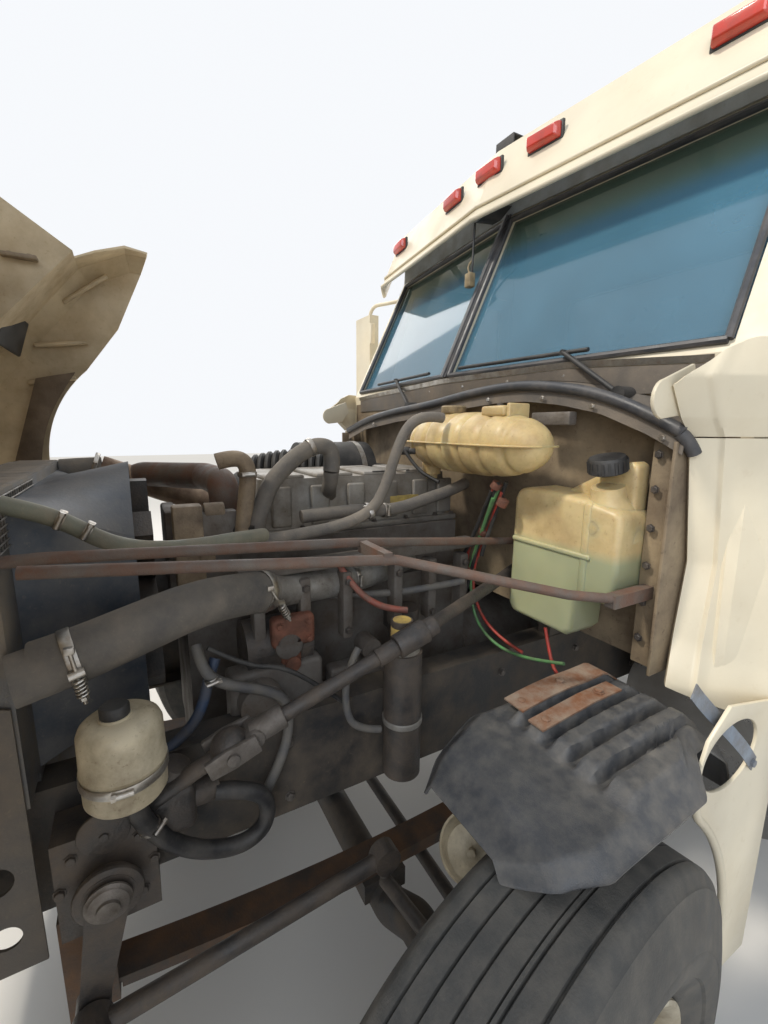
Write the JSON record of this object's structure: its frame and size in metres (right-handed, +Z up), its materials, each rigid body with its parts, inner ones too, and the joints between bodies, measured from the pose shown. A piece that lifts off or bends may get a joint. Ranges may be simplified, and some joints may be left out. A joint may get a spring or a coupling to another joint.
{
  "type": "semi truck tractor unit",
  "caption": "Day cab road tractor with a tilting hood, steered front axle, tandem drive axles on dual wheels and a fifth wheel coupling.",
  "frame": {"origin": "on the ground, in the middle of the whole outline from above", "axes": "+Z up, the truck faces -Y, its left side is +X"},
  "size_m": [2.74, 7.7696, 3.3018],
  "materials": {
    "chassis_paint": "dusty black chassis paint, brush dirt and rust at edges",
    "cab_paint": "weathered off-white paint",
    "hood_paint": "weathered off-white paint, raw moulded inside",
    "bumper_metal": "dull bright metal",
    "cast_iron": "dusty grey-brown castings",
    "engine_paint": "grey engine paint under dust",
    "engine_alloy": "dusty cast alloy",
    "spring_steel": "black paint with rust",
    "tyre_rubber": "dusty black rubber",
    "hose_rubber": "black hose rubber",
    "pipe_steel": "dull steel tube",
    "cooler_alloy": "dusty finned alloy",
    "shroud_plastic": "dark blue-grey moulded plastic",
    "liner_plastic": "black moulded plastic, sand speckled",
    "tank_plastic": "yellowed translucent plastic",
    "reservoir_plastic": "cream plastic",
    "tank_alloy": "brushed aluminium sheet",
    "stack_steel": "dull bright exhaust tube",
    "greased_steel": "greased cast steel",
    "window_glass": "lightly tinted glass",
    "dash_plastic": "dark grained plastic",
    "seat_cloth": "dark grey woven cloth",
    "visor_plastic": "weathered off-white paint",
    "lamp_lens": "red and amber lens",
    "headlamp_lens": "clear lens",
    "black_rubber": "black rubber sheet",
    "grille_plastic": "black grille"
  },
  "bodies": {
    "chassis": {"air_cleaner": "liner_plastic", "battery_box": "tank_alloy", "cab_firewall": "cab_paint", "cab_floor": "chassis_paint", "cab_glass": "window_glass", "cab_roof": "cab_paint", "cab_shell": "cab_paint", "cooling_pack": "cooler_alloy", "cowl_panels": "cab_paint", "dashboard": "dash_plastic", "engine_accessories": "cast_iron", "engine_block": "engine_paint", "engine_hoses": "hose_rubber", "engine_pipes": "pipe_steel", "exhaust_stack": "stack_steel", "fan_shroud": "shroud_plastic", "fender_liners": "liner_plastic", "fifth_wheel_base": "greased_steel", "fluid_reservoir": "reservoir_plastic", "frame_rails": "chassis_paint", "front_axle": "chassis_paint", "front_bumper": "bumper_metal", "fuel_tanks": "tank_alloy", "lamps": "lamp_lens", "leaf_springs": "spring_steel", "mud_flaps": "black_rubber", "rear_axles": "chassis_paint", "rear_suspension": "spring_steel", "seats": "seat_cloth", "steering_gear": "cast_iron", "sun_visor": "visor_plastic", "surge_tank": "tank_plastic", "tank_steps": "tank_alloy", "valve_cover": "engine_alloy", "washer_bottle": "tank_plastic", "wipers": "dash_plastic"},
    "hood": {"hood_shell": "hood_paint", "hood_grille": "grille_plastic", "headlamps": "headlamp_lens"},
    "door_left": {"door_left": "cab_paint", "door_glass_left": "window_glass"},
    "door_right": {"door_right": "cab_paint", "door_glass_right": "window_glass"},
    "knuckle_left": {"knuckle_left": "cast_iron"},
    "knuckle_right": {"knuckle_right": "cast_iron"},
    "tie_rod": {"tie_rod": "cast_iron"},
    "pitman_arm": {"pitman_arm": "cast_iron"},
    "drag_link": {"drag_link": "cast_iron"},
    "fifth_wheel": {"fifth_wheel_plate": "greased_steel"},
    "wheel_forward_left": {"wheel_forward_left": "tyre_rubber"},
    "wheel_forward_right": {"wheel_forward_right": "tyre_rubber"},
    "wheel_front_left": {"wheel_front_left": "tyre_rubber"},
    "wheel_front_right": {"wheel_front_right": "tyre_rubber"},
    "wheel_rearward_left": {"wheel_rearward_left": "tyre_rubber"},
    "wheel_rearward_right": {"wheel_rearward_right": "tyre_rubber"}
  },
  "joints": [
    {"name": "hood_tilt", "type": "hinge", "parent": "chassis", "child": "hood", "pos_m": [0, -3.1571, 0.75], "axis": [1, 0, 0], "range_deg": [-55, 0]},
    {"name": "door_left_swing", "type": "hinge", "parent": "chassis", "child": "door_left", "pos_m": [1.052, -1.2691, 1.6], "axis": [0, 0, 1], "range_deg": [-70, 0]},
    {"name": "door_right_swing", "type": "hinge", "parent": "chassis", "child": "door_right", "pos_m": [-1.052, -1.2691, 1.6], "axis": [0, 0, 1], "range_deg": [0, 70]},
    {"name": "steer_left", "type": "hinge", "parent": "chassis", "child": "knuckle_left", "pos_m": [0.89, -2.0071, 0.505], "axis": [0, 0, 1], "range_deg": [-48, 32]},
    {"name": "steer_right", "type": "hinge", "parent": "chassis", "child": "knuckle_right", "pos_m": [-0.89, -2.0071, 0.505], "axis": [0, 0, 1], "range_deg": [-48, 32]},
    {"name": "tie_rod_pin", "type": "hinge", "parent": "knuckle_left", "child": "tie_rod", "pos_m": [0.80909, -1.8266, 0.367], "axis": [0, 0, 1], "range_deg": [-32, 48]},
    {"name": "pitman_swing", "type": "hinge", "parent": "chassis", "child": "pitman_arm", "pos_m": [0.545, -2.6421, 0.85], "axis": [1, 0, 0], "range_deg": [-44, 66]},
    {"name": "drag_link_pin", "type": "hinge", "parent": "pitman_arm", "child": "drag_link", "pos_m": [0.589, -2.68789, 0.61441], "axis": [1, 0, 0], "range_deg": [-66, 44]},
    {"name": "fifth_wheel_tilt", "type": "hinge", "parent": "chassis", "child": "fifth_wheel", "pos_m": [0, 2.3349, 1.13], "axis": [1, 0, 0], "range_deg": [-12, 12]},
    {"name": "wheel_front_left_spin", "type": "hinge", "parent": "knuckle_left", "child": "wheel_front_left", "pos_m": [1.02864, -1.98762, 0.505], "axis": [0.9903, 0.1392, 0], "continuous": true},
    {"name": "wheel_front_right_spin", "type": "hinge", "parent": "knuckle_right", "child": "wheel_front_right", "pos_m": [-1.02864, -2.02658, 0.505], "axis": [0.9903, 0.1392, 0], "continuous": true},
    {"name": "wheel_forward_left_spin", "type": "hinge", "parent": "chassis", "child": "wheel_forward_left", "pos_m": [0.915, 1.9049, 0.505], "axis": [1, 0, 0], "continuous": true},
    {"name": "wheel_forward_right_spin", "type": "hinge", "parent": "chassis", "child": "wheel_forward_right", "pos_m": [-0.915, 1.9049, 0.505], "axis": [1, 0, 0], "continuous": true},
    {"name": "wheel_rearward_left_spin", "type": "hinge", "parent": "chassis", "child": "wheel_rearward_left", "pos_m": [0.915, 3.2249, 0.505], "axis": [1, 0, 0], "continuous": true},
    {"name": "wheel_rearward_right_spin", "type": "hinge", "parent": "chassis", "child": "wheel_rearward_right", "pos_m": [-0.915, 3.2249, 0.505], "axis": [1, 0, 0], "continuous": true}
  ],
  "couplings": [
    {"joint": "steer_right", "follows": "steer_left", "ratio": 1},
    {"joint": "tie_rod_pin", "follows": "steer_left", "ratio": -1},
    {"joint": "pitman_swing", "follows": "steer_left", "ratio": -1.375},
    {"joint": "drag_link_pin", "follows": "steer_left", "ratio": 1.375}
  ]
}
